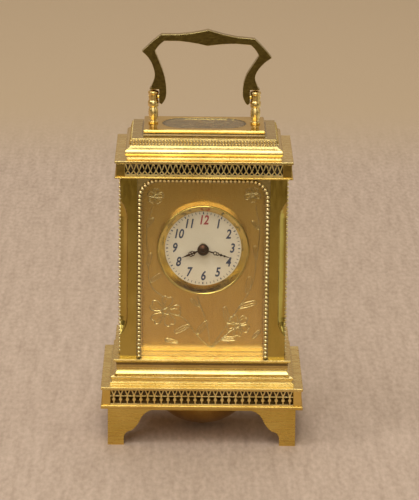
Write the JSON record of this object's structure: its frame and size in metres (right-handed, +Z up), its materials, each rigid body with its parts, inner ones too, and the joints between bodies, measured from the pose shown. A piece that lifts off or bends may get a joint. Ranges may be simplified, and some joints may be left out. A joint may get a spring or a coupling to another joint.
{
  "type": "carriage clock",
  "caption": "Miniature brass carriage clock with pierced galleries, beaded windows, a swinging handle, a glazed rear door and a geared movement.",
  "frame": {"origin": "on the table under the middle of the case", "axes": "+Z up, the dial faces -Y, +X to the right of the dial as seen from the front"},
  "size_m": [0.0516, 0.0376, 0.1052],
  "materials": {
    "polished_brass": "polished",
    "satin_brass": "satin",
    "pierced_brass": "polished",
    "beaded_gilt": "polished",
    "pane_glass": "clear",
    "engraved_gilt": "matt gilt",
    "enamel": "gloss enamel",
    "hand_bronze": "browned",
    "movement_brass": "polished",
    "blued_steel": "blued",
    "polished_steel": "polished",
    "bell_metal": "polished"
  },
  "bodies": {
    "case": {"foot_frame": "satin_brass", "base_plate": "polished_brass", "base_gallery": "pierced_brass", "base_corner_posts": "polished_brass", "base_moulding": "polished_brass", "pillar_front_left": "polished_brass", "pillar_front_right": "polished_brass", "pillar_rear_left": "polished_brass", "pillar_rear_right": "polished_brass", "front_bead_frame": "beaded_gilt", "left_bead_frame": "beaded_gilt", "right_bead_frame": "beaded_gilt", "front_glass": "pane_glass", "left_glass": "pane_glass", "right_glass": "pane_glass", "cornice_frame": "polished_brass", "cornice_gallery": "pierced_brass", "cornice_corner_posts": "polished_brass", "cornice_moulding": "polished_brass", "top_plate": "polished_brass", "top_glass": "pane_glass", "handle_post_left": "polished_brass", "handle_post_right": "polished_brass", "handle_pins": "polished_brass", "door_hinge_pins": "polished_brass", "dial_mask": "engraved_gilt", "dial_bezel": "polished_brass", "dial": "enamel", "front_plate": "movement_brass", "back_plate": "movement_brass", "movement_pillars": "movement_brass", "movement_bar": "movement_brass", "case_screws": "polished_steel", "movement_screws": "polished_steel", "platform": "movement_brass", "platform_cocks": "movement_brass", "balance_spring": "blued_steel", "bell": "bell_metal", "bell_screw": "bell_metal"},
    "handle": {"handle": "polished_brass"},
    "rear_door": {"rear_door": "polished_brass", "door_glass": "pane_glass", "door_knob": "polished_brass"},
    "minute_hand": {"minute_hand": "hand_bronze", "hand_cap": "hand_bronze", "cannon_pinion": "movement_brass", "set_arbor": "polished_steel"},
    "hour_hand": {"hour_hand": "hand_bronze", "hour_wheel": "movement_brass"},
    "minute_wheel": {"minute_wheel": "movement_brass"},
    "contrate_wheel": {"contrate_wheel": "movement_brass"},
    "third_wheel": {"third_wheel": "movement_brass"},
    "centre_wheel": {"centre_wheel": "movement_brass"},
    "barrel": {"barrel": "movement_brass"},
    "escape_wheel": {"escape_wheel": "movement_brass"},
    "pallet_lever": {"pallet_lever": "polished_steel"},
    "balance_wheel": {"balance_wheel": "movement_brass"},
    "winding_arbor": {"winding_arbor": "polished_steel"},
    "click": {"click": "blued_steel"},
    "hammer": {"hammer": "polished_steel"}
  },
  "joints": [
    {"name": "handle_swing", "type": "hinge", "parent": "case", "child": "handle", "pos_m": [0, 0, 0.0877], "axis": [1, 0, 0], "range_deg": [-115, 115]},
    {"name": "rear_door_hinge", "type": "hinge", "parent": "case", "child": "rear_door", "pos_m": [-0.0158, 0.0134, 0.0461], "axis": [0, 0, 1], "range_deg": [0, 105]},
    {"name": "minute_hand_turn", "type": "hinge", "parent": "case", "child": "minute_hand", "pos_m": [0, 0, 0.0501], "axis": [0, 1, 0], "continuous": true},
    {"name": "hour_hand_turn", "type": "hinge", "parent": "case", "child": "hour_hand", "pos_m": [0, 0, 0.0501], "axis": [0, 1, 0], "continuous": true},
    {"name": "minute_wheel_turn", "type": "hinge", "parent": "case", "child": "minute_wheel", "pos_m": [0.00339, 0, 0.04671], "axis": [0, 1, 0], "continuous": true},
    {"name": "contrate_wheel_turn", "type": "hinge", "parent": "case", "child": "contrate_wheel", "pos_m": [-0.00121, 0, 0.05816], "axis": [0, 1, 0], "continuous": true},
    {"name": "third_wheel_turn", "type": "hinge", "parent": "case", "child": "third_wheel", "pos_m": [-0.0059, 0, 0.05423], "axis": [0, 1, 0], "continuous": true},
    {"name": "centre_wheel_turn", "type": "hinge", "parent": "case", "child": "centre_wheel", "pos_m": [0, 0, 0.0501], "axis": [0, 1, 0], "continuous": true},
    {"name": "barrel_turn", "type": "hinge", "parent": "case", "child": "barrel", "pos_m": [0, 0, 0.0396], "axis": [0, 1, 0], "continuous": true},
    {"name": "escape_wheel_turn", "type": "hinge", "parent": "case", "child": "escape_wheel", "pos_m": [-0.00121, 0.00047, 0.066], "axis": [0, 0, 1], "continuous": true},
    {"name": "pallet_lever_rock", "type": "hinge", "parent": "case", "child": "pallet_lever", "pos_m": [0.00194, 0.00047, 0.066], "axis": [0, 0, 1], "range_deg": [-4, 4]},
    {"name": "balance_swing", "type": "hinge", "parent": "case", "child": "balance_wheel", "pos_m": [0.00469, 0.00047, 0.067], "axis": [0, 0, 1], "range_deg": [-220, 220]},
    {"name": "winding_arbor_turn", "type": "hinge", "parent": "case", "child": "winding_arbor", "pos_m": [0, 0, 0.0396], "axis": [0, 1, 0], "continuous": true},
    {"name": "click_lift", "type": "hinge", "parent": "case", "child": "click", "pos_m": [0.0049, 0.0066, 0.0374], "axis": [0, 1, 0], "range_deg": [0, 12]},
    {"name": "hammer_swing", "type": "hinge", "parent": "case", "child": "hammer", "pos_m": [0.0072, 0.0025, 0.0274], "axis": [0, -1, 0], "range_deg": [0, 3]}
  ],
  "couplings": [
    {"joint": "minute_hand_turn", "follows": "hour_hand_turn", "ratio": 12},
    {"joint": "minute_wheel_turn", "follows": "hour_hand_turn", "ratio": -4},
    {"joint": "third_wheel_turn", "follows": "centre_wheel_turn", "ratio": -8},
    {"joint": "contrate_wheel_turn", "follows": "centre_wheel_turn", "ratio": 60},
    {"joint": "barrel_turn", "follows": "centre_wheel_turn", "ratio": -0.16667},
    {"joint": "escape_wheel_turn", "follows": "centre_wheel_turn", "ratio": 420}
  ]
}
